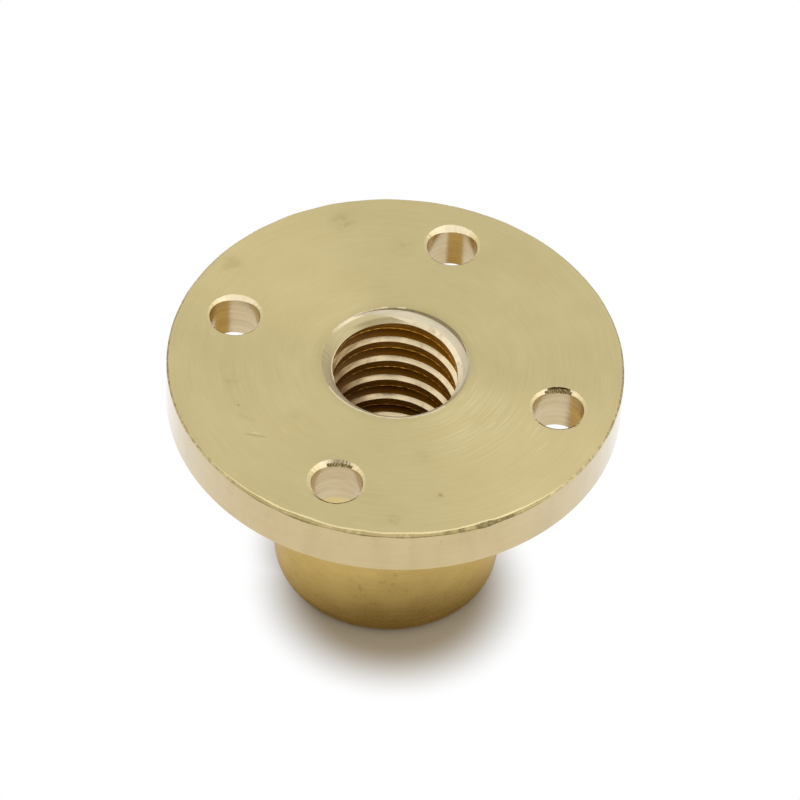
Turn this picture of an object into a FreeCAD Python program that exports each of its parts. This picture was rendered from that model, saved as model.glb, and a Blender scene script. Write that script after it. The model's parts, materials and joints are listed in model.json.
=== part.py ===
import FreeCAD, Part
import math
import os

# Flanged lead screw nut, turned from one brass bar. It stands on the foot of its barrel, flange up.
# The Z axis is the screw's axis, Z = 0 is the foot, and the screw holes lie on the X and Y axes.
# All sizes are in millimetres.

# Flange
flange_diameter = 32.0
flange_thickness = 3.6
rim_chamfer = 0.25

# Barrel
barrel_diameter = 16.2
barrel_length = 16.4
foot_chamfer = 0.6

# Screw holes through the flange
hole_count = 4
hole_circle_diameter = 24.0
hole_diameter = 3.6
hole_chamfer = 0.3

# Thread: one start, right hand, with a flat crest and a flat root
thread_pitch = 2.0
thread_minor_diameter = 8.8
thread_depth = 0.8
thread_crest_width = 0.62
thread_root_width = 0.5
mouth_chamfer = 0.75
# Angle about the axis at which the groove's centre line meets the top face, in degrees
thread_exit_angle = 100.0

# How far a cutter runs past the surface that it cuts
overrun = 0.2

Z_AXIS = FreeCAD.Vector(0, 0, 1)
ORIGIN = FreeCAD.Vector(0, 0, 0)
overall_length = barrel_length + flange_thickness
minor_radius = thread_minor_diameter / 2


def turned(outline):
    """Solid made by turning a closed outline of (radius, height) points about the Z axis."""
    points = [FreeCAD.Vector(radius, 0, height) for radius, height in outline]
    face = Part.Face(Part.makePolygon(points + points[:1]))
    return face.revolve(ORIGIN, Z_AXIS, 360)


def turned_blank():
    """Flange and barrel with their edge chamfers, before any hole is made."""
    flange_radius = flange_diameter / 2
    barrel_radius = barrel_diameter / 2
    return turned([
        (0, 0),
        (barrel_radius - foot_chamfer, 0),
        (barrel_radius, foot_chamfer),
        (barrel_radius, barrel_length),
        (flange_radius, barrel_length),
        (flange_radius, overall_length - rim_chamfer),
        (flange_radius - rim_chamfer, overall_length),
        (0, overall_length),
    ])


def drill(radius, chamfer, bottom, top):
    """Cutter for a through hole with a 45 degree chamfer at its top."""
    wide = radius + chamfer + overrun
    return turned([
        (0, bottom - overrun),
        (radius, bottom - overrun),
        (radius, top - chamfer),
        (wide, top + overrun),
        (0, top + overrun),
    ])


def screw_hole_cutters():
    """One cutter for each screw hole, evenly spaced on the hole circle from the X axis."""
    cutter = drill(hole_diameter / 2, hole_chamfer, barrel_length, overall_length)
    cutter.translate(FreeCAD.Vector(hole_circle_diameter / 2, 0, 0))
    cutters = []
    for index in range(hole_count):
        placed = cutter.copy()
        placed.rotate(ORIGIN, Z_AXIS, index * 360 / hole_count)
        cutters.append(placed)
    return cutters


def bore_cutter():
    """Cutter for the bore at the thread's crests, with its wall in quarters."""
    quarters = []
    for index in range(4):
        quarters.append(Part.makeCircle(minor_radius, ORIGIN, Z_AXIS, 90 * index, 90 * (index + 1)))
    disc = Part.Face(Part.Wire(quarters))
    disc.translate(Z_AXIS * -overrun)
    return disc.extrude(Z_AXIS * (overall_length + 2 * overrun))


def groove_cutter():
    """Helical bar that cuts the thread's groove, from below the foot to above the top face."""
    half_open = (thread_pitch - thread_crest_width) / 2
    half_root = thread_root_width / 2
    flank_slope = (half_open - half_root) / thread_depth
    half_inner = half_open + overrun * flank_slope
    inner_radius = minor_radius - overrun
    major_radius = minor_radius + thread_depth
    section = [
        FreeCAD.Vector(inner_radius, 0, -half_inner),
        FreeCAD.Vector(major_radius, 0, -half_root),
        FreeCAD.Vector(major_radius, 0, half_root),
        FreeCAD.Vector(inner_radius, 0, half_inner),
    ]
    profile = Part.makePolygon(section + section[:1])
    turns_below_top = math.ceil(overall_length / thread_pitch) + 1
    helix_height = (turns_below_top + 1) * thread_pitch
    taper = 0
    helix = Part.makeLongHelix(thread_pitch, helix_height, major_radius, taper)
    bar = Part.Wire(helix.Edges).makePipeShell([profile], True, True)
    bar.rotate(ORIGIN, Z_AXIS, thread_exit_angle)
    bar.translate(Z_AXIS * (overall_length - turns_below_top * thread_pitch))
    return bar


def mouth_cutters():
    """Cones that chamfer the thread at the foot and at the top face."""
    wide = minor_radius + mouth_chamfer + overrun
    cone = turned([
        (0, -overrun),
        (wide, -overrun),
        (minor_radius - overrun, mouth_chamfer + overrun),
        (0, mouth_chamfer + overrun),
    ])
    upper = cone.mirror(FreeCAD.Vector(0, 0, overall_length / 2), Z_AXIS)
    return [cone, upper]


def lead_screw_nut():
    """The whole nut: the blank, bored, drilled, threaded and chamfered."""
    nut = turned_blank()
    for cutter in [bore_cutter(), *screw_hole_cutters(), groove_cutter(), *mouth_cutters()]:
        nut = nut.cut(cutter)
    return nut


os.makedirs("parts", exist_ok=True)
nut = lead_screw_nut()
print("valid", nut.isValid(), "solids", len(nut.Solids), "volume", round(nut.Volume, 1))
nut.Solids[0].exportStep("parts/lead_screw_nut.step")
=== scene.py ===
import json
import math

import bmesh
import bpy
import numpy as np
from mathutils import Matrix, Vector


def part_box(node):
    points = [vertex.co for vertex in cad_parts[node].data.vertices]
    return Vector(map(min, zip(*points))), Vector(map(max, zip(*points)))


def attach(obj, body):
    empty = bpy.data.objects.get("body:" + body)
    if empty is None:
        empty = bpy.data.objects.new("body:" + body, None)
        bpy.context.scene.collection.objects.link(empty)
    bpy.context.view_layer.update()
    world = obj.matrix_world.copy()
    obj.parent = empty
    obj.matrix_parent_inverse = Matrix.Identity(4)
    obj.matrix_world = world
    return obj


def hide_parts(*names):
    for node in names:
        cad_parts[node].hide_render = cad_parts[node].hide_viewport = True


# Flanged brass nut for a lead screw, standing on a white floor. Lengths are in metres.

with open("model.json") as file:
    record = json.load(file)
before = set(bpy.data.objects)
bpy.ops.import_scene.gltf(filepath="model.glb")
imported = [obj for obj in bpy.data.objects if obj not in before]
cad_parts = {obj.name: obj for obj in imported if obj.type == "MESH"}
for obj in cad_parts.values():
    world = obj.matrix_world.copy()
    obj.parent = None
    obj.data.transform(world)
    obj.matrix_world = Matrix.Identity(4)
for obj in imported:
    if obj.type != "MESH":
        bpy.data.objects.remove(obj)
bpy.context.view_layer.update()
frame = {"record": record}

MM = 0.001
NODE = "lead_screw_nut"
MOUNTS = {mount["name"]: mount for mount in frame["record"]["mounts"]}
THREAD_DIMS = MOUNTS["screw_thread"]["dims"]
SCREW_DIMS = MOUNTS["flange_screws"]["dims"]

# Sizes that the frame gives
FLANGE_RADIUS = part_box(NODE)[1].x
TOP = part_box(NODE)[1].z
SEAT = MOUNTS["flange_seat"]["pos_m"][2]
BARREL_RADIUS = MOUNTS["barrel"]["dims"]["r_mm"] * MM
BORE_RADIUS = THREAD_DIMS["r_mm"] * MM
MOUTH_CHAMFER = (TOP - THREAD_DIMS["length_mm"] * MM) / 2
MOUTH_RADIUS = BORE_RADIUS + MOUTH_CHAMFER
HOLE_CIRCLE_RADIUS = SCREW_DIMS["pcd_mm"] * MM / 2
HOLE_RADIUS = SCREW_DIMS["hole_r_mm"] * MM
HOLE_COUNT = SCREW_DIMS["count"]

# Edges and thread, as in the part's source
FOOT_CHAMFER = 0.6 * MM
HOLE_CHAMFER = 0.3 * MM
PITCH = 2.0 * MM
THREAD_DEPTH = 0.8 * MM
CREST_WIDTH = 0.62 * MM
ROOT_WIDTH = 0.5 * MM
GROOVE_EXIT = math.radians(100)

# How finely the round surfaces are divided
BODY_STEPS = 1440
HOLE_STEPS = 240
THREAD_STEPS = 240
# Half a step: where the first step of the body and of a hole is, so that their edges lie between those of the
# surfaces that they meet
BODY_START = math.pi / BODY_STEPS
HOLE_START = math.pi / HOLE_STEPS
# Points that are closer than this are one point
WELD = 0.001 * MM
# How far a cut runs past the surface that it ends at
OVERRUN = 0.2 * MM

# Regions of the surface, in the order of the material slots
REGIONS = [
    "face", "side", "barrel", "under", "rim", "edge", "mouth",
    "flank", "crest", "root", "hole", "chamfer", "torn",
]
SLOT = {name: index for index, name in enumerate(REGIONS)}

# Camera, as fitted to the photograph. The side of the nut that the photograph shows is its front, and it is
# turned this far from -Y
FRONT_AZIMUTH = math.radians(17.2)
CAMERA_ELEVATION = math.radians(47.79)
CAMERA_ROLL = math.radians(-3.21)
CAMERA_DISTANCE = 23.9 * FLANGE_RADIUS
CAMERA_CLIP = 0.01
SENSOR_WIDTH = 36
IMAGE_WIDTH = 800
# The top face's centre, in pixels right of and below the image's centre, and the flange's radius in pixels
TOP_CENTRE_OFFSET = (-4.33, -37.69)
FLANGE_RADIUS_PIXELS = 229.08


def outward(azimuth=0.0, elevation=0.0):
    """Direction out from the nut, so many degrees to the right of its front and above the floor."""
    turn = FRONT_AZIMUTH + math.radians(azimuth)
    lift = math.radians(elevation)
    return Vector((math.sin(turn) * math.cos(lift), -math.cos(turn) * math.cos(lift), math.sin(lift)))


# Angles about the axis at which the nut's front and back are
FRONT = math.atan2(outward().y, outward().x)
BACK = math.atan2(-outward().y, -outward().x)


def uneven(angles, seed, low, high, depth, number=0):
    """Seeded unevenness over the angle, of about that depth, with from low to high waves a lap.

    The number tells apart several that share the other values.
    """
    chance = np.random.default_rng(seed + number)
    waves = np.arange(low, high)
    shifts = chance.uniform(0, 2 * math.pi, len(waves))
    total = np.cos(angles[:, None] * waves + shifts).sum(1)
    return depth * total / math.sqrt(len(waves) / 2)


def off_from(angles, middle):
    """How far the angles are from the middle, the shorter way round."""
    return np.angle(np.exp(1j * (angles - middle)))


def bumps(angles, middles, half):
    """1 at each of the middles, falling off over half on both sides. Middles and half are in degrees."""
    total = np.zeros(len(angles))
    for middle in middles:
        off = off_from(angles, math.radians(middle))
        total += np.exp(-(off / math.radians(half)) ** 2)
    return total


def hole_centres():
    """Centre of each screw hole, seen from above."""
    centres = []
    for index in range(HOLE_COUNT):
        angle = 2 * math.pi * index / HOLE_COUNT
        centres.append((HOLE_CIRCLE_RADIUS * math.cos(angle), HOLE_CIRCLE_RADIUS * math.sin(angle)))
    return centres


def lap_angles(steps):
    """Angles of the steps of one lap."""
    return 2 * math.pi * np.arange(steps) / steps


def turned(outline, steps, centre=(0, 0), start=0.0, capped=False):
    """Mesh data of an outline of (radius, height, region of what follows), turned about a vertical axis.

    A radius, height or region may also be a list, with one for each step.
    """
    angles = lap_angles(steps) + start
    count = len(outline)
    verts = np.zeros((steps, count, 3))
    for k, (radius, height, _) in enumerate(outline):
        verts[:, k, 0] = centre[0] + radius * np.cos(angles)
        verts[:, k, 1] = centre[1] + radius * np.sin(angles)
        verts[:, k, 2] = height
    faces = []
    slots = []
    sides = count - 1 if capped else count
    for i in range(steps):
        j = (i + 1) % steps
        for k in range(sides):
            m = (k + 1) % count
            faces.append((i * count + k, j * count + k, j * count + m, i * count + m))
            region = outline[k][2]
            slots.append(SLOT[region if isinstance(region, str) else region[i]])
    if capped:
        faces.append(tuple(i * count for i in reversed(range(steps))))
        faces.append(tuple(i * count + count - 1 for i in range(steps)))
        slots += [SLOT["hole"]] * 2
    return verts.reshape(-1, 3), faces, slots


# Facets of the rim, from the side up: how far each looks up, in degrees, its length, and the share of it that
# is there outside the knocked arc
RIM_FACETS = [(20, 0.06 * MM, 0.4), (48, 0.215 * MM, 0.75), (77, 0.115 * MM, 0.06)]
# The knocked arc is at the front: half its angle where it is full and where it ends, in degrees
KNOCKED_ARC = (34, 50)
# Nicks: angles about the axis and half a nick's width in degrees, the share that one adds to a facet's
# length, and the numbers of the facets that it reaches
RIM_NICKS = [-48.2, -46.4]
NICK_HALF = 1.0
NICK_WEAR = 0.3
NICKED_FACETS = (0, 1)
# Least and greatest share of a facet's length
WEAR_RANGE = (0.2, 1.9)
# Unevenness, here and below: seed, fewest and most waves in a lap, and depth
RIM_WAVES = (40, 4, 40, 0.12)
RIM_CHIPS = (50, 40, 400, 0.05)


def rim_outline(angles):
    """The worn rim from the side up to the top face, with a bright upper edge over the knocked arc."""
    off_front = np.degrees(np.abs(off_from(angles, FRONT)))
    full, end = KNOCKED_ARC
    knocked = np.clip((end - off_front) / (end - full), 0, 1)
    lengths = []
    for number, (_, length, rest) in enumerate(RIM_FACETS):
        wear = uneven(angles, *RIM_WAVES, number) + uneven(angles, *RIM_CHIPS, number)
        if number in NICKED_FACETS:
            wear += NICK_WEAR * bumps(angles, RIM_NICKS, NICK_HALF)
        lengths.append(length * (rest + (1 - rest) * knocked) * np.clip(1 + wear, *WEAR_RANGE))
    leans = [math.radians(lean) for lean, _, _ in RIM_FACETS]
    regions = ["rim", "rim", ["edge" if share > 0 else "rim" for share in knocked]]
    radius = FLANGE_RADIUS
    height = TOP - sum(length * math.cos(lean) for length, lean in zip(lengths, leans))
    outline = []
    for length, lean, region in zip(lengths, leans, regions):
        outline.append((radius, height, region))
        radius = radius - length * math.sin(lean)
        height = height + length * math.cos(lean)
    return outline + [(radius, TOP, "face")]


# The break of the flange's lower edge
SEAT_EDGE = 0.05 * MM
# The worn foot: how far in from the barrel's side and how high each of its edges is
FOOT_ROUND = [(0.12 * MM, 0.48 * MM), (0.04 * MM, 0.75 * MM), (0.0, 1.05 * MM)]
# The mouth's edge: its width, its drop over that, the width's unevenness, how far out it has spread, and the
# spread's unevenness
MOUTH_EDGE = 0.07 * MM
MOUTH_EDGE_DROP = 0.2 * MOUTH_EDGE
MOUTH_EDGE_WAVES = (8, 5, 120, 0.25)
MOUTH_SPREAD = 0.03 * MM
MOUTH_WAVES = (7, 15, 200, 0.008 * MM)
# Burrs on that edge: angles about the axis and half a burr's width in degrees, the share that one adds to the
# edge's width, and the share of its size from which it is bright
MOUTH_BURRS = [118.5, 104.8]
BURR_HALF = 3.5
BURR_WIDTH = 1.2
BURR_BRIGHT = 0.4
# The arcs in which the edge is bright, with the paler edge tone as painted highlight, in degrees about the
# axis
MOUTH_BRIGHT = [(122, 168), (227, 330)]
# The front of the mouth is found by the cosine of the angle from the front, with a shift added, over a span.
# It adds a share to the edge's width, and lifts the cone's shoulder
FRONT_SHIFT = 0.2
FRONT_SPAN = 0.6
FRONT_WIDTH = 0.7
MOUTH_ROUND = 0.03 * MM
# How far down the cone its shoulder is
SHOULDER = 0.6
# The ledge at the foot of the cone: its width, its middle about the axis and half its length in degrees, the
# width from which it is bright, and its inner edge's height, as a share of the width, and overhang
MOUTH_LEDGE = 0.09 * MM
LEDGE_MIDDLE = 197
LEDGE_HALF = 45
LEDGE_BRIGHT = 0.2 * MOUTH_LEDGE
LEDGE_INNER = 0.75
LEDGE_OVERHANG = 0.1 * OVERRUN


def body_data():
    """The turned body: barrel and flange, and a bore that is still too narrow."""
    angles = lap_angles(BODY_STEPS) + BODY_START
    mouth_edge = MOUTH_RADIUS + MOUTH_SPREAD + uneven(angles, *MOUTH_WAVES)
    burrs = bumps(angles, MOUTH_BURRS, BURR_HALF)
    front_share = np.clip((np.cos(angles - FRONT) + FRONT_SHIFT) / FRONT_SPAN, 0, 1)
    widening = 1 + uneven(angles, *MOUTH_EDGE_WAVES) + BURR_WIDTH * burrs + FRONT_WIDTH * front_share
    edge_width = MOUTH_EDGE * widening
    bright = burrs > BURR_BRIGHT
    for start, end in np.radians(MOUTH_BRIGHT):
        bright |= (angles > start) & (angles < end)
    edge_region = ["edge" if lit else "face" for lit in bright]
    ledge = MOUTH_LEDGE * bumps(angles, [LEDGE_MIDDLE], LEDGE_HALF)
    ledge_region = ["edge" if width > LEDGE_BRIGHT else "mouth" for width in ledge]
    narrow = BORE_RADIUS - OVERRUN
    cone_depth = MOUTH_CHAMFER + OVERRUN
    shoulder = mouth_edge + SHOULDER * (BORE_RADIUS - mouth_edge)
    shoulder_height = TOP - SHOULDER * MOUTH_CHAMFER + MOUTH_ROUND * front_share
    return turned([
        (MOUTH_RADIUS, 0, "under"),
        (BARREL_RADIUS - FOOT_CHAMFER, 0, "barrel"),
        *[(BARREL_RADIUS - inset, height, "barrel") for inset, height in FOOT_ROUND],
        (BARREL_RADIUS, SEAT, "under"),
        (FLANGE_RADIUS - SEAT_EDGE, SEAT, "edge"),
        (FLANGE_RADIUS, SEAT + SEAT_EDGE, "side"),
        *rim_outline(angles),
        (mouth_edge + edge_width, TOP, edge_region),
        (mouth_edge, TOP - MOUTH_EDGE_DROP, "mouth"),
        (shoulder, shoulder_height, "mouth"),
        (BORE_RADIUS + ledge, TOP - MOUTH_CHAMFER + ledge, ledge_region),
        (BORE_RADIUS - LEDGE_OVERHANG, TOP - MOUTH_CHAMFER + LEDGE_INNER * ledge, "mouth"),
        (narrow, TOP - cone_depth, "mouth"),
        (narrow, cone_depth, "mouth"),
    ], BODY_STEPS, start=BODY_START)


# The countersink of each hole: its width, how far it stands off the hole's axis, and which way, as degrees to
# the left of the back; then the middle of the arc that a dull tool has torn, the same way, half that arc, and
# the share of the width that is torn
COUNTERSINKS = [
    (0.25 * MM, 0.03 * MM, 0, 0, 32, 1.0),
    (0.235 * MM, 0.15 * MM, 0, 0, 0, 0.0),
    (0.206 * MM, 0.095 * MM, 0, 0, 0, 0.0),
    (0.3 * MM, 0.08 * MM, 60, -5, 32, 0.65),
]
HOLE_WAVES = (30, 2, 6, 0.006 * MM)
# A countersink's least width and unevenness, the share of its width that is the same all round, and its depth
# as a share of the width: at the sides, and what the back and the front add to that
SINK_LEAST = 0.04 * MM
SINK_WAVES = (90, 5, 40, 0.01 * MM)
SINK_EVEN = 0.75
SINK_FLAT = 0.25
SINK_BACK = 0.75
SINK_FRONT = 0.35
# Where its middle edge is, as a share of its width
SINK_MIDDLE = 0.5
# Torn metal: the added depth, the angle over which it fades in, its part of the torn width, how far it sags,
# its unevenness, and how far it has faded in where the lower and the upper surface start to be torn
TORN_DEPTH = 0.06 * MM
TORN_FADE = math.radians(20)
TORN_PART = 0.85
TORN_SAG = 0.3
TORN_ARC_WAVES = (60, 20, 80, 0.04)
TORN_DEPTH_WAVES = (70, 15, 60, 0.3)
TORN_TEETH = (20, 40, 119, 0.03 * MM)
TORN_BELOW = 0.15
TORN_ABOVE = 0.5


def hole_data(index, centre):
    """Cutter for one screw hole, with a chamfer at its top that stands off the axis and may be torn."""
    width, lean, lean_turn, torn_turn, torn_half, torn_share = COUNTERSINKS[index]
    angles = lap_angles(HOLE_STEPS) + HOLE_START
    wall = HOLE_RADIUS + uneven(angles, *HOLE_WAVES, index)
    backward = np.cos(angles - BACK)
    leaning = lean * np.cos(angles - BACK - math.radians(lean_turn))
    reach = (width + leaning) * np.clip(SINK_EVEN + (1 - SINK_EVEN) * backward, 0, 1)
    wide = wall + np.maximum(reach + uneven(angles, *SINK_WAVES, index), SINK_LEAST)
    off_middle = np.abs(off_from(angles - BACK, math.radians(torn_turn)))
    ragged_half = math.radians(torn_half) * (1 + uneven(angles, *TORN_ARC_WAVES, index))
    torn = np.clip((ragged_half - off_middle) / TORN_FADE, 0, 1)
    teeth = torn * uneven(angles, *TORN_TEETH, index)
    steepness = np.where(backward > 0, SINK_BACK, SINK_FRONT)
    depth = (wide - wall) * (SINK_FLAT + steepness * backward ** 2)
    depth = depth + torn * TORN_DEPTH * (1 + uneven(angles, *TORN_DEPTH_WAVES, index))
    part = SINK_MIDDLE + torn * (TORN_PART * torn_share - SINK_MIDDLE)
    rise = part * (1 - TORN_SAG * torn)
    below = ["torn" if share > TORN_BELOW else "chamfer" for share in torn]
    above = ["torn" if share > TORN_ABOVE and torn_share == 1 else "chamfer" for share in torn]
    slope = (1 - part) * (wide - wall) / ((1 - rise) * depth)
    return turned([
        (wall, SEAT - OVERRUN, "hole"),
        (wall, TOP - depth, below),
        (wall + part * (wide - wall) + teeth, TOP - depth * (1 - rise), above),
        (wide, TOP, "chamfer"),
        (wide + OVERRUN * slope, TOP + OVERRUN, "chamfer"),
    ], HOLE_STEPS, centre, HOLE_START, capped=True)


# The crests' hollow, and the lip along their lower edge: its size, and its mean, least and greatest share
CREST_HOLLOW = 0.012 * MM
CREST_LIP = 0.012 * MM
LIP_MEAN = 0.35
LIP_RANGE = (0.05, 1.2)
LIP_WAVES = (12, 160, 720, 0.5)
CREST_WAVES = (11, 24, 160, 0.006 * MM)
# How far out the bright part of the flank ends
FLANK_BREAK = 0.34 * MM
FLANK_WAVES = (13, 24, 120, 0.005 * MM)
# The thread's unevenness repeats after this many laps
WAVE_LAPS = 8


def thread_profile(helix):
    """One pitch of the thread, from the middle of a crest up: (radius, height, region) over the helix."""
    half_open = (PITCH - CREST_WIDTH) / 2
    half_root = ROOT_WIDTH / 2
    root = BORE_RADIUS + THREAD_DEPTH
    crest = BORE_RADIUS + CREST_HOLLOW
    drift = helix / WAVE_LAPS
    edge = half_open + uneven(drift, *CREST_WAVES)
    lip = CREST_LIP * np.clip(LIP_MEAN + uneven(drift, *LIP_WAVES), *LIP_RANGE)
    flank_slope = (half_open - half_root) / THREAD_DEPTH
    break_depth = FLANK_BREAK + uneven(drift, *FLANK_WAVES)
    break_height = -half_open + break_depth * flank_slope
    return [
        (crest, -PITCH / 2, "crest"),
        (crest, -edge - CREST_LIP, "crest"),
        (BORE_RADIUS, -edge, "flank"),
        (BORE_RADIUS + break_depth, break_height, "root"),
        (root, -half_root, "root"),
        (root, half_root, "root"),
        (BORE_RADIUS, half_open, "crest"),
        (BORE_RADIUS - lip, half_open + lip / 2, "crest"),
        (crest, half_open + 2 * CREST_LIP, "crest"),
    ]


def screw_data():
    """Solid screw that leaves the thread in the bore, from below the foot to above the top face."""
    turns_below = math.ceil(TOP / PITCH) + 1
    last = (turns_below + 1) * THREAD_STEPS
    laps = np.arange(last + 1) / THREAD_STEPS
    helix = 2 * math.pi * laps
    rise = TOP + PITCH * (laps - turns_below)
    profile = thread_profile(helix)
    count = len(profile)
    verts = np.zeros((last + 1, count, 3))
    for k, (radius, height, _) in enumerate(profile):
        verts[:, k, 0] = radius * np.cos(GROOVE_EXIT + helix)
        verts[:, k, 1] = radius * np.sin(GROOVE_EXIT + helix)
        verts[:, k, 2] = height + rise
    top_turn = verts[last - THREAD_STEPS + 1:, 0] + np.array((0, 0, PITCH))
    ends = np.array([(0, 0, rise[0]), (0, 0, rise[-1])])
    points = np.concatenate([verts.reshape(-1, 3), top_turn, ends])
    bottom_end = len(points) - 2
    top_end = len(points) - 1

    def above(i):
        """Vertex one pitch above the start of the profile at step i."""
        if i + THREAD_STEPS <= last:
            return (i + THREAD_STEPS) * count
        return (last + 1) * count + i + THREAD_STEPS - last - 1

    faces = []
    slots = []
    for i in range(last):
        column = [i * count + k for k in range(count)] + [above(i)]
        following = [(i + 1) * count + k for k in range(count)] + [above(i + 1)]
        for k in range(count):
            faces.append((column[k], following[k], following[k + 1], column[k + 1]))
            slots.append(SLOT[profile[k][2]])
    lower = [i * count for i in range(THREAD_STEPS + 1)] + [k for k in range(count - 1, 0, -1)]
    upper = [above(i) for i in range(last - THREAD_STEPS, last + 1)]
    upper += [last * count + k for k in range(count - 1, 0, -1)]
    for m in range(len(lower)):
        faces.append((bottom_end, lower[(m + 1) % len(lower)], lower[m]))
    for m in range(len(upper)):
        faces.append((top_end, upper[m], upper[(m + 1) % len(upper)]))
    slots += [SLOT["flank"]] * (len(lower) + len(upper))
    return points, faces, slots


def new_object(name, verts, faces, slots, materials):
    """Object with that mesh, those materials, and the number of one of them on each face."""
    mesh = bpy.data.meshes.new(name)
    mesh.from_pydata([tuple(v) for v in verts], [], faces)
    for material in materials:
        mesh.materials.append(material)
    mesh.polygons.foreach_set("material_index", slots)
    mesh.update()
    made = bpy.data.objects.new(name, mesh)
    bpy.context.scene.collection.objects.link(made)
    return made


def cut(body, tool):
    """Takes the tool's volume out of the body, and deletes the tool."""
    step = body.modifiers.new("cut", "BOOLEAN")
    step.operation = "DIFFERENCE"
    step.solver = "EXACT"
    step.object = tool
    graph = bpy.context.evaluated_depsgraph_get()
    shaped = bpy.data.meshes.new_from_object(body.evaluated_get(graph))
    body.modifiers.remove(step)
    body.data = shaped
    bpy.data.objects.remove(tool)


def weld(mesh):
    """Cleans the mesh along the cuts.

    It merges points that all but coincide, splits the faces with many sides, and deletes flaps, which are two
    faces on the same points.
    """
    shape = bmesh.new()
    shape.from_mesh(mesh)
    bmesh.ops.remove_doubles(shape, verts=shape.verts, dist=WELD)
    bmesh.ops.dissolve_degenerate(shape, edges=shape.edges, dist=WELD)
    many_sided = [face for face in shape.faces if len(face.verts) > 4]
    bmesh.ops.triangulate(shape, faces=many_sided, ngon_method="BEAUTY")
    shape.verts.index_update()
    by_points = {}
    for face in shape.faces:
        by_points.setdefault(frozenset(vert.index for vert in face.verts), []).append(face)
    flaps = [face for group in by_points.values() if len(group) > 1 for face in group]
    bmesh.ops.delete(shape, geom=flaps, context="FACES")
    shape.to_mesh(mesh)
    shape.free()


def round_normals(mesh):
    """Gives each corner the normal of the round surface that its facet stands for."""
    count = len(mesh.polygons)
    normal = np.zeros(count * 3)
    middle = np.zeros(count * 3)
    size = np.zeros(count, int)
    mesh.polygons.foreach_get("normal", normal)
    mesh.polygons.foreach_get("center", middle)
    mesh.polygons.foreach_get("loop_total", size)
    normal = normal.reshape(-1, 3)
    middle = middle.reshape(-1, 3)
    vertex = np.zeros(len(mesh.loops), int)
    mesh.loops.foreach_get("vertex_index", vertex)
    place = np.zeros(len(mesh.vertices) * 3)
    mesh.vertices.foreach_get("co", place)
    corner = place.reshape(-1, 3)[vertex]
    axis = np.zeros((count, 2))
    reach = HOLE_RADIUS + 2 * HOLE_CHAMFER
    for centre in hole_centres():
        near = np.hypot(middle[:, 0] - centre[0], middle[:, 1] - centre[1]) < reach
        axis[near] = centre
    facet = np.repeat(np.arange(count), size)
    of_corner = corner[:, :2] - axis[facet]
    of_facet = (middle[:, :2] - axis)[facet]
    turn = np.arctan2(of_corner[:, 1], of_corner[:, 0]) - np.arctan2(of_facet[:, 1], of_facet[:, 0])
    old = normal[facet]
    new = np.stack([
        old[:, 0] * np.cos(turn) - old[:, 1] * np.sin(turn),
        old[:, 0] * np.sin(turn) + old[:, 1] * np.cos(turn),
        old[:, 2]], 1)
    mesh.polygons.foreach_set("use_smooth", [True] * count)
    mesh.normals_split_custom_set([tuple(n) for n in new])


def make_nut(materials):
    """The nut, turned, drilled and threaded."""
    made = new_object("turned_nut", *body_data(), materials)
    for index, centre in enumerate(hole_centres()):
        cut(made, new_object(f"drill_{index}", *hole_data(index, centre), materials))
    cut(made, new_object("tap", *screw_data(), materials))
    weld(made.data)
    round_normals(made.data)
    return made


def add_node(tree, kind, inputs=(), **settings):
    """New node; inputs maps a socket's name or number to a value, or to the socket that feeds it."""
    made = tree.nodes.new(kind)
    for name, value in settings.items():
        setattr(made, name, value)
    for key, value in dict(inputs).items():
        socket = made.inputs[key]
        if isinstance(value, bpy.types.NodeSocket):
            tree.links.new(value, socket)
        else:
            socket.default_value = value
    return made


def calc(tree, operation, *values):
    """Output of a Math node on those values."""
    return add_node(tree, "ShaderNodeMath", dict(enumerate(values)), operation=operation).outputs[0]


def vector_calc(tree, operation, *values, output="Vector"):
    """Output of a Vector Math node on those values."""
    node = add_node(tree, "ShaderNodeVectorMath", dict(enumerate(values)), operation=operation)
    return node.outputs[output]


def part_along(tree, vector, direction):
    """How far a vector reaches in that direction."""
    return vector_calc(tree, "DOT_PRODUCT", vector, tuple(direction), output="Value")


def part_up(tree, vector):
    """How far a vector reaches up."""
    return add_node(tree, "ShaderNodeSeparateXYZ", {0: vector}).outputs["Z"]


def ramp(tree, value, start, end, low=0.0, high=1.0):
    """Smooth step from low at start to high at end."""
    inputs = {0: value, 1: start, 2: end, 3: low, 4: high}
    return add_node(tree, "ShaderNodeMapRange", inputs, interpolation_type="SMOOTHSTEP").outputs[0]


def blend(tree, share, first, second):
    """Colour between two colours, each a value or a socket."""
    colours = {0: share}
    for key, colour in ((6, first), (7, second)):
        colours[key] = colour if isinstance(colour, bpy.types.NodeSocket) else (*colour, 1)
    return add_node(tree, "ShaderNodeMix", colours, data_type="RGBA").outputs[2]


def place_on(tree):
    """Place on the nut, in the part's own frame."""
    return add_node(tree, "ShaderNodeTexCoord").outputs["Object"]


def height_on(tree):
    """Height above the foot."""
    return part_up(tree, place_on(tree))


def toward(tree, azimuth):
    """How far a place on the nut lies from the axis, in the direction so many degrees right of the front."""
    return part_along(tree, place_on(tree), outward(azimuth))


def distance(tree, place, centre):
    """Distance from a point, or in plan where its height is None."""
    if centre[2] is None:
        place = vector_calc(tree, "MULTIPLY", place, (1, 1, 0))
        centre = (centre[0], centre[1], 0)
    return vector_calc(tree, "DISTANCE", place, centre, output="Value")


def from_axis(tree):
    """Distance from the nut's axis."""
    return distance(tree, place_on(tree), (0, 0, None))


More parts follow.
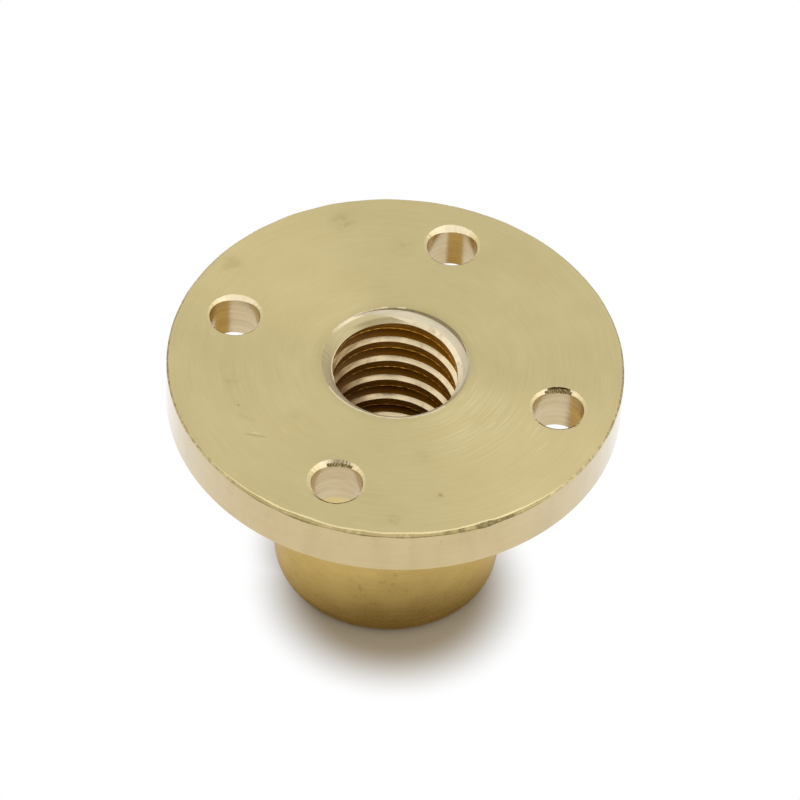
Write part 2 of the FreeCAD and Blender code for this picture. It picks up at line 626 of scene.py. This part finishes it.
def lathe_noise(tree, feed, spacing, changes):
    """Noise drawn out along the tool's path, that changes a few times a lap.

    The feed is what grows from one mark to the next, the radius or the height, and spacing is how much.
    """
    place = place_on(tree)
    flat = vector_calc(tree, "MULTIPLY", place, (1, 1, 0))
    heading = vector_calc(tree, "NORMALIZE", flat)
    if feed == "radius":
        across = vector_calc(tree, "LENGTH", flat, output="Value")
    else:
        across = part_up(tree, place)
    level = add_node(tree, "ShaderNodeCombineXYZ", {"Z": calc(tree, "DIVIDE", across, spacing)})
    where = vector_calc(tree, "MULTIPLY_ADD", heading, (changes, changes, 0), level.outputs[0])
    noise = add_node(tree, "ShaderNodeTexNoise", {"Vector": where, "Scale": 1.0, "Detail": 2.0})
    return noise.outputs[0]


def blotches(tree, size, detail, tall=1.0):
    """Plain noise with features of that size, drawn out upwards by a factor."""
    place = vector_calc(tree, "MULTIPLY", place_on(tree), (1, 1, 1 / tall))
    inputs = {"Vector": place, "Scale": 1 / size, "Detail": detail}
    return add_node(tree, "ShaderNodeTexNoise", inputs).outputs[0]


def patches(tree, size, detail, start, end, low, high, tall=1.0):
    """Blotches as a mask, low where their noise is under start and high where it is over end."""
    return ramp(tree, blotches(tree, size, detail, tall), start, end, low, high)


# Tool marks in three sizes: their spacing as a multiple of the region's, and how often they change in a lap
MARKS = (1, 3.0)
LINES = (1.8, 6.0)
BANDS = (7, 1.2)
# Clouds of the two tones: size and detail, contrast, and shift
CLOUDS = (3.5 * MM, 4.0)
CLOUD_CONTRAST = 1.6
CLOUD_SHIFT = -0.3
# How much stronger lines colour the metal than bands do, and bands shape it than lines do
LINE_COLOUR = 2
BAND_RELIEF = 2.0
# Levels of the marks' noise at which the metal is smoothest and roughest
FINISH_LEVELS = (0.3, 0.7)
COAT_ROUGHNESS = 0.18
# A quarter turn, which draws the sheen out across the marks
SHEEN_TURN = 0.25


def brass(name, feed, tones, roughness, relief, spacing=0.1 * MM, anisotropy=0.0, streaks=0.6, coat=0.0,
          stains=(), grazing=(1, 1, 1)):
    """Turned brass: tool marks along the cut, two tones in soft blotches, and a sheen across the marks.

    Each stain is a function that makes its mask, and its colour. The coat is a thin film of oil. Grazing is
    the tint of what the metal shows when it is seen edge on.
    """
    light, dark = tones
    material = bpy.data.materials.new("brass_" + name)
    material.use_nodes = True
    tree = material.node_tree
    shader = tree.nodes["Principled BSDF"]
    marks, lines, bands = [
        lathe_noise(tree, feed, spacing * multiple, changes) for multiple, changes in (MARKS, LINES, BANDS)]
    tone = calc(tree, "MULTIPLY_ADD", blotches(tree, *CLOUDS), CLOUD_CONTRAST, CLOUD_SHIFT)
    for noise, weight in ((bands, streaks), (lines, LINE_COLOUR * streaks)):
        tone = calc(tree, "MULTIPLY_ADD", calc(tree, "SUBTRACT", noise, 0.5), weight, tone)
    colour = blend(tree, tone, dark, light)
    for mask, stain_colour in stains:
        colour = blend(tree, mask(tree), colour, stain_colour)
    tree.links.new(colour, shader.inputs["Base Color"])
    levels = dict(enumerate((marks, *FINISH_LEVELS, *roughness)))
    finish = add_node(tree, "ShaderNodeMapRange", levels)
    tree.links.new(finish.outputs[0], shader.inputs["Roughness"])
    height = calc(tree, "MULTIPLY_ADD", bands, BAND_RELIEF, calc(tree, "ADD", marks, lines))
    bump = add_node(tree, "ShaderNodeBump", {"Strength": 1.0, "Distance": relief, "Height": height})
    tree.links.new(bump.outputs[0], shader.inputs["Normal"])
    shader.inputs["Metallic"].default_value = 1
    shader.inputs["Specular Tint"].default_value = (*grazing, 1)
    shader.inputs["Coat Weight"].default_value = coat
    shader.inputs["Coat Roughness"].default_value = COAT_ROUGHNESS
    if anisotropy:
        tangent = add_node(tree, "ShaderNodeTangent", direction_type="RADIAL", axis="Z")
        tree.links.new(tangent.outputs[0], shader.inputs["Tangent"])
        shader.inputs["Anisotropic"].default_value = anisotropy
        shader.inputs["Anisotropic Rotation"].default_value = SHEEN_TURN
    return material


# Tones of the brass in each region, the lighter first
FACE_TONES = ((0.63, 0.535, 0.28), (0.57, 0.475, 0.235))
SIDE_TONES = ((0.62, 0.488, 0.248), (0.564, 0.428, 0.2))
BARREL_TONES = ((0.75, 0.56, 0.21), (0.67, 0.49, 0.165))
RIM_TONES = ((0.6, 0.5, 0.26), (0.54, 0.44, 0.215))
# The paler tones of the edges and chamfers, of the mouth and of the holes stand partly for fresh-cut metal
# and partly for painted highlight
EDGE_TONES = ((0.76, 0.67, 0.46), (0.7, 0.58, 0.36))
MOUTH_TONES = ((0.69, 0.6, 0.41), (0.63, 0.54, 0.35))
FLANK_TONES = ((0.72, 0.63, 0.44), (0.66, 0.56, 0.37))
THREAD_TONES = ((0.69, 0.62, 0.47), (0.63, 0.55, 0.4))
HOLE_TONES = ((0.64, 0.52, 0.325), (0.56, 0.44, 0.25))
TORN_TONES = ((0.26, 0.2, 0.085), (0.1, 0.07, 0.02))
BARREL_GRAZING = (1.0, 0.9, 0.7)
# Tarnish, dirt and other darker colours, some of them painted shade
TARNISH_AND_SHADE = (0.34, 0.27, 0.11)
BARREL_DARK = (0.26, 0.152, 0.032)
RIM_TARNISH = (0.4, 0.32, 0.145)
RIM_DIRT = (0.2, 0.15, 0.06)
# Dirt in the rim's nicks, and the painted shade at the front of the hole chamfers
NICK_DIRT_AND_SHADE = (0.12, 0.09, 0.035)
# Painted shade on the left of the mouth's cone
MOUTH_SHADE = (0.53, 0.455, 0.245)
MOUTH_TARNISH = (0.24, 0.17, 0.07)
FLANK_SCUFF = (0.42, 0.3, 0.14)
# Painted shade in the thread, deep down and on the bore's left
CREST_SHADE = (0.78, 0.41, 0.055)
ROOT_SHADE = (0.27, 0.11, 0.007)
FLANK_SHADE = (0.6, 0.35, 0.08)
LEFT_SHADE = (0.22, 0.14, 0.06)
# Lighter colours: painted highlights on the face and on the mouth's lip, and lighter metal
BARREL_TOP = (0.72, 0.58, 0.29)
OUTER_EDGE = (0.78, 0.68, 0.38)
FACE_GLINT = (0.76, 0.68, 0.44)
# A painted highlight along the mouth's lip
MOUTH_LIP_HIGHLIGHT = (0.86, 0.76, 0.55)
TORN_SPECKS = (0.6, 0.5, 0.28)

# Patches: size, detail, the levels of noise that they step between, the share at each, and the upward stretch
FACE_GRAIN = (0.45 * MM, 3.0, 0.4, 0.6, 0.3, 1.0)
SIDE_CLOUDS = (1.6 * MM, 4.0, 0.55, 0.8, 0.0, 0.2)
SIDE_SPECKS = (0.4 * MM, 2.0, 0.7, 0.77, 0.0, 0.4)
SIDE_STREAKS = (1.2 * MM, 2.0, 0.45, 0.75, 0.0, 0.15, 5.0)
BARREL_CLOUDS = (3.0 * MM, 3.0, 0.35, 0.7, 0.0, 0.12)
BARREL_SPECKS = (0.6 * MM, 2.0, 0.62, 0.72, 0.0, 0.12)
RIM_DASHES = (0.35 * MM, 3.0, 0.36, 0.64, 0.05, 0.55)
RIM_RUBBED = (1.2 * MM, 3.0, 0.4, 0.6, 1.0, 0.4)
NICK_GRAIN = (0.3 * MM, 2.0, 0.38, 0.6, 0.5, 1.0)
FLANK_SCUFFS = (0.5 * MM, 3.0, 0.5, 0.72, 0.0, 0.45)
TORN_GLITTER = (0.12 * MM, 2.0, 0.52, 0.64, 0.0, 0.6)

# Ramps: where each starts and ends, and the share there where it isn't 0 and 1
# A painted shade line along the mouth's edge at the back right, where a burr shades it
BURR_SHADE_LINE = (MOUTH_RADIUS + 0.09 * MM, MOUTH_RADIUS + 0.15 * MM, 0.6, 0.0)
BURR_SHADE_ARC = (0.6 * MOUTH_RADIUS, 0.85 * MOUTH_RADIUS)
MOUTH_HALO = (MOUTH_RADIUS, MOUTH_RADIUS + 0.9 * MM, 0.18, 0.0)
SCORE_HIGHLIGHT_FADE = (1.0 * MM, 5.0 * MM, 0.36, 0.04)
SCORE_LEVELS = (0.42, 0.68)
BARREL_FADE = (2 * MM, 15 * MM, 0.48, 0.06)
BARREL_TOP_RISE = (SEAT - 8 * MM, SEAT - 2 * MM, 0.0, 0.75)
OUTER_EDGE_RISE = (BARREL_RADIUS, FLANGE_RADIUS - 1 * MM)
RIM_LINE = (TOP - 0.2 * MM, TOP - 0.14 * MM, 0.55, 0.0)
MOUTH_SHADE_ARC = (0.5 * BORE_RADIUS, BORE_RADIUS, 0.0, 0.8)
MOUTH_LIP_HIGHLIGHT_ARC = (0.95 * BORE_RADIUS, 1.12 * BORE_RADIUS)
MOUTH_LIP_HIGHLIGHT_RISE = (TOP - 0.19 * MM, TOP - 0.09 * MM, 0.0, 0.85)
MOUTH_STAIN_ARC = (0.9 * BORE_RADIUS, 1.02 * BORE_RADIUS, 0.0, 0.5)
MOUTH_STAIN_FADE = (TOP - 0.5 * MM, TOP - 0.36 * MM, 1.0, 0.0)
LEFT_SHADE_ARC = (-BORE_RADIUS, 0.15 * BORE_RADIUS)
LEFT_SHADE_LEVELS = (0.35, 0.65, 0.7, 1.1)
# How far a chamfer faces the front, from -1 to 1: where its painted highlight fades out, and where painted
# shade fades in
CHAMFER_HIGHLIGHT = (0.1, 0.55, 1.0, 0.0)
CHAMFER_SHADE = (-0.4, -0.15, 0.85, 0.0)

# Directions in which the arcs' ramps run, in degrees to the right of the front
BURR_SHADE_SIDE = 150
MOUTH_SHADE_SIDE = -130
MOUTH_LIP_HIGHLIGHT_SIDE = -152
MOUTH_STAIN_SIDE = -165
LEFT_SHADE_SIDE = 90

# Marks on the top face: place in millimetres, reach, and how dark the middle is
FACE_MARKS = [
    (-10.1, -5.7, 0.9, 0.25),
    (-4.9, -7.3, 0.8, 0.15),
    (4.8, -13.7, 0.7, 0.35),
    (4.7, -7.6, 0.9, 0.15),
    (-8.1, 11.5, 1.4, 0.35),
    (-3.3, 10.7, 1.3, 0.3),
    (-14.0, 4.6, 1.2, 0.3),
    (-8.8, -7.8, 0.16, 0.7),
    (7.0, -10.5, 0.3, 0.75),
]
# Scratches in the top face: from where to where in millimetres, half the width, and how strong they are
DARK_SCRATCHES = [
    (-7.6, -10.15, -5.8, -9.85, 0.17, 0.4),
    (-8.7, -8.6, -6.9, -8.8, 0.3, 0.15),
]
# Scratches painted bright, as glints
BRIGHT_SCRATCHES = [
    (-7.1, -9.85, -6.4, -9.72, 0.08, 0.6),
    (-5.4, -8.65, -4.5, -9.1, 0.1, 0.3),
    (7.9, -3.7, 8.4, -2.6, 0.13, 0.45),
    (11.05, -3.15, 11.3, -1.75, 0.1, 0.4),
    (11.8, -4.35, 12.4, -2.95, 0.1, 0.35),
]
# Dirt in the rim's edge: angle about the axis in degrees, reach in millimetres, and how dark the middle is
RIM_GRIME = [
    (-57.5, 0.4, 0.7),
    (-54.0, 0.4, 0.8),
    (-47.8, 1.0, 0.85),
    (-44.8, 1.2, 0.75),
    (-41.8, 1.0, 0.75),
]
# The shares of a mark's, a scratch's and a dirt spot's reach over which they are full
MARK_CORE = 0.1
SCRATCH_CORE = 0.5
GRIME_CORE = 0.4

# Where the painted highlight on the lathe's marks on the face lies, and the marks' spacing and changes in a
# lap
SCORE_HIGHLIGHT_PLACE = (6.9 * MM, -3.2 * MM)
SCORES = (0.12 * MM, 2.2)
# Spacing and changes in a lap of the streaks of painted shade on the bore's left
LEFT_SHADE_STREAKS = (0.12 * MM, 2.0)
# The depth at which the painted shade deep in the thread is full, as a multiple of the depth at which it
# starts
DEEP_SHADE_FULL = 1.2


def scratch(tree, place, start_x, start_y, end_x, end_y, half_width, strength):
    """Mask of one straight scratch that fades out at its ends."""
    start = Vector((start_x * MM, start_y * MM, 0))
    end = Vector((end_x * MM, end_y * MM, 0))
    run = (end - start).normalized()
    gaps = []
    for direction in (run, Vector((-run.y, run.x, 0))):
        off_middle = vector_calc(tree, "SUBTRACT", place, tuple((start + end) / 2))
        gaps.append(calc(tree, "ABSOLUTE", part_along(tree, off_middle, direction)))
    half = (end - start).length / 2
    lengthwise = ramp(tree, gaps[0], SCRATCH_CORE * half, half, 1.0, 0.0)
    return calc(tree, "MULTIPLY", lengthwise, ramp(tree, gaps[1], 0.0, half_width * MM, strength, 0.0))


def face_stains_and_shade(tree):
    """Smears and specks on the top face, a painted shade line at the mouth's back right, and a darker ring
    round it.
    """
    place = place_on(tree)
    total = None
    for x, y, reach, strength in FACE_MARKS:
        gap = distance(tree, place, (x * MM, y * MM, None))
        mark = ramp(tree, gap, MARK_CORE * reach * MM, reach * MM, strength, 0.0)
        total = mark if total is None else calc(tree, "MAXIMUM", total, mark)
    total = calc(tree, "MULTIPLY", total, patches(tree, *FACE_GRAIN))
    radius = from_axis(tree)
    back_right = ramp(tree, toward(tree, BURR_SHADE_SIDE), *BURR_SHADE_ARC)
    ring = calc(tree, "MULTIPLY", ramp(tree, radius, *BURR_SHADE_LINE), back_right)
    halo = ramp(tree, radius, *MOUTH_HALO)
    for mark in (ring, halo, *[scratch(tree, place, *row) for row in DARK_SCRATCHES]):
        total = calc(tree, "MAXIMUM", total, mark)
    return total


def face_glints(tree):
    """Bright scratches on the top face as painted glints, and a painted highlight on the lathe's marks at one
    place.
    """
    place = place_on(tree)
    highlit = ramp(tree, distance(tree, place, (*SCORE_HIGHLIGHT_PLACE, None)), *SCORE_HIGHLIGHT_FADE)
    arcs = ramp(tree, lathe_noise(tree, "radius", *SCORES), *SCORE_LEVELS)
    total = calc(tree, "MULTIPLY", highlit, arcs)
    for row in BRIGHT_SCRATCHES:
        total = calc(tree, "MAXIMUM", total, scratch(tree, place, *row))
    return total


def side_stains(tree):
    """Faint patches on the flange's side."""
    faint = calc(tree, "MAXIMUM", patches(tree, *SIDE_CLOUDS), patches(tree, *SIDE_SPECKS))
    return calc(tree, "MAXIMUM", faint, patches(tree, *SIDE_STREAKS))


def barrel_darkening(tree):
    """Soft darker patches and a few specks on the barrel, and darker towards the foot."""
    total = ramp(tree, height_on(tree), *BARREL_FADE)
    for row in (BARREL_CLOUDS, BARREL_SPECKS):
        total = calc(tree, "ADD", total, patches(tree, *row))
    return total


def barrel_top(tree):
    """The barrel lighter close under the flange."""
    return ramp(tree, height_on(tree), *BARREL_TOP_RISE)


def outer_edge(tree):
    """Covers the rim's edges, and leaves the mouth's."""
    return ramp(tree, from_axis(tree), *OUTER_EDGE_RISE)


def rim_dirt(tree):
    """Dirt all round the rim, in short dashes."""
    return patches(tree, *RIM_DASHES)


def rim_stain(tree):
    """Dull tarnish on the rim's knocked arc, thinner where it has been rubbed."""
    full, end = KNOCKED_ARC
    reach = [FLANGE_RADIUS * math.cos(math.radians(angle)) for angle in (end, full)]
    arc = ramp(tree, toward(tree, 0), *reach)
    return calc(tree, "MULTIPLY", arc, patches(tree, *RIM_RUBBED))


def nick_stain(tree):
    """Dirt in the rim's nicks, and a darker line along the lower edge of its knocked arc."""
    place = place_on(tree)
    low = ramp(tree, height_on(tree), *RIM_LINE)
    total = calc(tree, "MULTIPLY", low, rim_stain(tree))
    grain = patches(tree, *NICK_GRAIN)
    for angle, reach, strength in RIM_GRIME:
        turn = math.radians(angle)
        middle = (FLANGE_RADIUS * math.cos(turn), FLANGE_RADIUS * math.sin(turn), TOP)
        gap = distance(tree, place, middle)
        spot = ramp(tree, gap, GRIME_CORE * reach * MM, reach * MM, strength, 0.0)
        total = calc(tree, "MAXIMUM", total, calc(tree, "MULTIPLY", spot, grain))
    return total


def mouth_shade(tree):
    """Painted shade on the left of the mouth's cone."""
    return ramp(tree, toward(tree, MOUTH_SHADE_SIDE), *MOUTH_SHADE_ARC)


def mouth_lip_highlight(tree):
    """A painted highlight in a strip along the top of the mouth's cone, at the back left."""
    arc = ramp(tree, toward(tree, MOUTH_LIP_HIGHLIGHT_SIDE), *MOUTH_LIP_HIGHLIGHT_ARC)
    return calc(tree, "MULTIPLY", arc, ramp(tree, height_on(tree), *MOUTH_LIP_HIGHLIGHT_RISE))


def mouth_stain(tree):
    """Tarnish low on the mouth's cone, at the back."""
    arc = ramp(tree, toward(tree, MOUTH_STAIN_SIDE), *MOUTH_STAIN_ARC)
    return calc(tree, "MULTIPLY", arc, ramp(tree, height_on(tree), *MOUTH_STAIN_FADE))


def deep_shade(depth, share=1.0):
    """Maker of a mask of painted shade that covers all below that depth."""
    def mask(tree):
        return ramp(tree, height_on(tree), TOP - DEEP_SHADE_FULL * depth, TOP - depth, share, 0.0)
    return mask


def left_shade(share):
    """Maker of a mask of painted shade that is strong on the bore's left and thins out to the right, in
    streaks.
    """
    def mask(tree):
        run = ramp(tree, toward(tree, LEFT_SHADE_SIDE), *LEFT_SHADE_ARC, share, 0.0)
        streaks = ramp(tree, lathe_noise(tree, "height", *LEFT_SHADE_STREAKS), *LEFT_SHADE_LEVELS)
        return calc(tree, "MULTIPLY", run, streaks)
    return mask


def painted_light_by_facing(*step):
    """Maker of a mask of painted light and shade by how far the surface faces the nut's front: 1 is full on,
    and -1 is away.
    """
    def mask(tree):
        normal = add_node(tree, "ShaderNodeNewGeometry").outputs["Normal"]
        return ramp(tree, part_along(tree, normal, outward()), *step)
    return mask


def flank_scuffs(tree):
    """Brown scuffs on the thread's bright flank."""
    return patches(tree, *FLANK_SCUFFS)


def torn_specks(tree):
    """Bright specks in the torn metal."""
    return patches(tree, *TORN_GLITTER)


# One finish for each region. Roughness is given for the smoothest and the roughest of the marks
FINISHES = {
    "face": dict(
        feed="radius", spacing=0.12 * MM, tones=FACE_TONES, roughness=(0.38, 0.5), relief=2e-6,
        anisotropy=0.8, streaks=0.25, stains=[(face_stains_and_shade, TARNISH_AND_SHADE), (face_glints, FACE_GLINT)]),
    "side": dict(
        feed="height", spacing=0.15 * MM, tones=SIDE_TONES, roughness=(0.1, 0.22), relief=0.5e-6,
        anisotropy=0.3, streaks=0.4, coat=1.0, stains=[(side_stains, TARNISH_AND_SHADE)]),
    "barrel": dict(
        feed="height", spacing=0.15 * MM, tones=BARREL_TONES, roughness=(0.2, 0.32), relief=0.4e-6,
        anisotropy=0.3, streaks=0.2, grazing=BARREL_GRAZING,
        stains=[(barrel_darkening, BARREL_DARK), (barrel_top, BARREL_TOP)]),
    "under": dict(
        feed="radius", spacing=0.15 * MM, tones=SIDE_TONES, roughness=(0.36, 0.5), relief=1e-6,
        anisotropy=0.8),
    "rim": dict(
        feed="height", tones=RIM_TONES, roughness=(0.3, 0.42), relief=0.3e-6,
        stains=[(rim_dirt, RIM_DIRT), (rim_stain, RIM_TARNISH), (nick_stain, NICK_DIRT_AND_SHADE)]),
    "edge": dict(
        feed="height", tones=EDGE_TONES, roughness=(0.3, 0.42), relief=0.6e-6,
        stains=[(outer_edge, OUTER_EDGE)]),
    "mouth": dict(
        feed="height", tones=MOUTH_TONES, roughness=(0.5, 0.6), relief=0.6e-6,
        stains=[(mouth_shade, MOUTH_SHADE), (mouth_lip_highlight, MOUTH_LIP_HIGHLIGHT), (mouth_stain, MOUTH_TARNISH)]),
    "flank": dict(
        feed="height", tones=FLANK_TONES, roughness=(0.2, 0.3), relief=0.4e-6,
        stains=[(deep_shade(depth=1.2 * MM, share=0.2), FLANK_SHADE), (flank_scuffs, FLANK_SCUFF),
                (left_shade(share=0.95), LEFT_SHADE)]),
    "crest": dict(
        feed="height", spacing=0.08 * MM, tones=THREAD_TONES, roughness=(0.4, 0.55), relief=0.6e-6,
        stains=[(deep_shade(depth=0.65 * MM), CREST_SHADE), (left_shade(share=0.6), LEFT_SHADE)]),
    "root": dict(
        feed="height", tones=THREAD_TONES, roughness=(0.5, 0.65), relief=0.6e-6,
        stains=[(deep_shade(depth=1.1 * MM), ROOT_SHADE), (left_shade(share=0.6), LEFT_SHADE)]),
    "hole": dict(
        feed="height", spacing=0.18 * MM, tones=HOLE_TONES, roughness=(0.2, 0.3), relief=8e-6, streaks=1.2),
    "chamfer": dict(
        feed="height", tones=EDGE_TONES, roughness=(0.3, 0.42), relief=0.6e-6,
        stains=[(painted_light_by_facing(*CHAMFER_HIGHLIGHT), FACE_TONES[0]), (painted_light_by_facing(*CHAMFER_SHADE), NICK_DIRT_AND_SHADE)]),
    "torn": dict(
        feed="height", tones=TORN_TONES, roughness=(0.4, 0.6), relief=2e-6,
        stains=[(torn_specks, TORN_SPECKS)]),
}


FLOOR_HALF = 1.5
# The floor's colour where it holds the shadow, dark and warm: painted shade that deepens and warms the shadow
FLOOR_SHADE_COLOUR = (0.39, 0.335, 0.25)
# The soft shadow: how far its middle lies to the front and to the right, and from where to where it fades
SHADOW_SHIFT = 3.5 * MM
SHADOW_RIGHT = 0.6 * MM
SHADOW_FADE = (5.6 * MM, 10.9 * MM)
# The shadow close round the foot fades over this much on either side of the barrel's radius
CONTACT_REACH = 2.4 * MM


def seen(tree):
    """1 for rays that show the backdrop to the camera, straight or through the metal's reflections."""
    path = add_node(tree, "ShaderNodeLightPath")
    direct = calc(tree, "MAXIMUM", path.outputs["Is Camera Ray"], path.outputs["Is Glossy Ray"])
    return calc(tree, "MAXIMUM", direct, path.outputs["Is Transmission Ray"])


def make_floor():
    """Large floor: near the nut it holds the shadow, in a dark warm colour that deepens it as painted shade,
    and further off it shows white.
    """
    half = FLOOR_HALF
    corners = [(-half, -half, 0), (half, -half, 0), (half, half, 0), (-half, half, 0)]
    material = bpy.data.materials.new("white_floor")
    material.use_nodes = True
    tree = material.node_tree
    tree.nodes.remove(tree.nodes["Principled BSDF"])
    matt = add_node(tree, "ShaderNodeBsdfDiffuse", {"Color": (*FLOOR_SHADE_COLOUR, 1)})
    glow = add_node(tree, "ShaderNodeEmission", {"Strength": 1.0})
    middle = outward() * SHADOW_SHIFT + outward(azimuth=90) * SHADOW_RIGHT
    lit = ramp(tree, distance(tree, place_on(tree), tuple(middle)), *SHADOW_FADE)
    reach = (BARREL_RADIUS - CONTACT_REACH, BARREL_RADIUS + CONTACT_REACH)
    clear = ramp(tree, distance(tree, place_on(tree), (0, 0, 0)), *reach)
    share = calc(tree, "MULTIPLY", seen(tree), calc(tree, "MINIMUM", lit, clear))
    both = add_node(tree, "ShaderNodeMixShader", {0: share, 1: matt.outputs[0], 2: glow.outputs[0]})
    tree.links.new(both.outputs[0], tree.nodes["Material Output"].inputs["Surface"])
    new_object("floor", corners, [(0, 1, 2, 3)], [0], [material])


# Light of the tent's cloth: the heights between which it grows, from 0 at the floor to 1 overhead, and how
# strong it is at each
TENT_RISE = (0.0, 0.5, 0.4, 1.0)
# Patches of the tent at the front: elevation, outer and inner angle in degrees, and added light
TENT_PATCHES = [
    (4, 40, 18, -0.2),
    (46, 36, 14, 0.35),
]


def make_world():
    """White tent with a lamp behind the cloth above the front, and an opening below it."""
    world = bpy.data.worlds.new("tent")
    bpy.context.scene.world = world
    world.use_nodes = True
    tree = world.node_tree
    heading = add_node(tree, "ShaderNodeTexCoord").outputs["Generated"]
    tent = ramp(tree, part_up(tree, heading), *TENT_RISE)
    for elevation, edge, core, strength in TENT_PATCHES:
        near = part_along(tree, heading, outward(elevation=elevation))
        reach = (math.cos(math.radians(edge)), math.cos(math.radians(core)))
        tent = calc(tree, "ADD", tent, ramp(tree, near, *reach, 0.0, strength))
    path = add_node(tree, "ShaderNodeLightPath")
    background = tree.nodes["Background"]
    background.inputs["Color"].default_value = (1, 1, 1, 1)
    tree.links.new(calc(tree, "MAXIMUM", path.outputs["Is Camera Ray"], tent), background.inputs["Strength"])


def softbox(name, azimuth, elevation, away, size, power):
    """Square lamp that faces the nut, so many degrees to the right of the front and above the floor."""
    line = outward(azimuth, elevation)
    lamp = bpy.data.lights.new(name, "AREA")
    lamp.shape = "SQUARE"
    lamp.size = size
    lamp.energy = power
    made = bpy.data.objects.new(name, lamp)
    made.location = Vector((0, 0, TOP)) + line * away
    made.rotation_mode = "QUATERNION"
    made.rotation_quaternion = line.to_track_quat("Z", "Y")
    bpy.context.scene.collection.objects.link(made)


def make_camera():
    """Camera at the photograph's angle, with the top face's centre at its pixel."""
    forward = Vector((0, math.cos(CAMERA_ELEVATION), -math.sin(CAMERA_ELEVATION)))
    right = Vector((1, 0, 0))
    down = forward.cross(right)
    across = math.cos(CAMERA_ROLL) * right + math.sin(CAMERA_ROLL) * down
    below = math.cos(CAMERA_ROLL) * down - math.sin(CAMERA_ROLL) * right
    metres_per_pixel = FLANGE_RADIUS / FLANGE_RADIUS_PIXELS
    offset = across * TOP_CENTRE_OFFSET[0] + below * TOP_CENTRE_OFFSET[1]
    place = -forward * CAMERA_DISTANCE - offset * metres_per_pixel
    axes = Matrix((across, -below, -forward)).transposed().to_4x4()
    pose = Matrix.Translation(place) @ axes
    lens = bpy.data.cameras.new("camera")
    lens.sensor_width = SENSOR_WIDTH
    lens.lens = CAMERA_DISTANCE / metres_per_pixel * SENSOR_WIDTH / IMAGE_WIDTH
    lens.clip_start = CAMERA_CLIP
    made = bpy.data.objects.new("camera", lens)
    made.matrix_world = Matrix.Translation((0, 0, TOP)) @ Matrix.Rotation(FRONT_AZIMUTH, 4, "Z") @ pose
    bpy.context.scene.collection.objects.link(made)
    bpy.context.scene.camera = made


nut = make_nut([brass(region, **FINISHES[region]) for region in REGIONS])
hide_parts(NODE)
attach(nut, "root")

make_floor()
make_world()
softbox("softbox_right", azimuth=90, elevation=42, away=0.9, size=1.1, power=2.0)
softbox("softbox_left", azimuth=-90, elevation=38, away=0.9, size=1.0, power=1.0)
make_camera()
bpy.context.scene.view_settings.view_transform = "Standard"
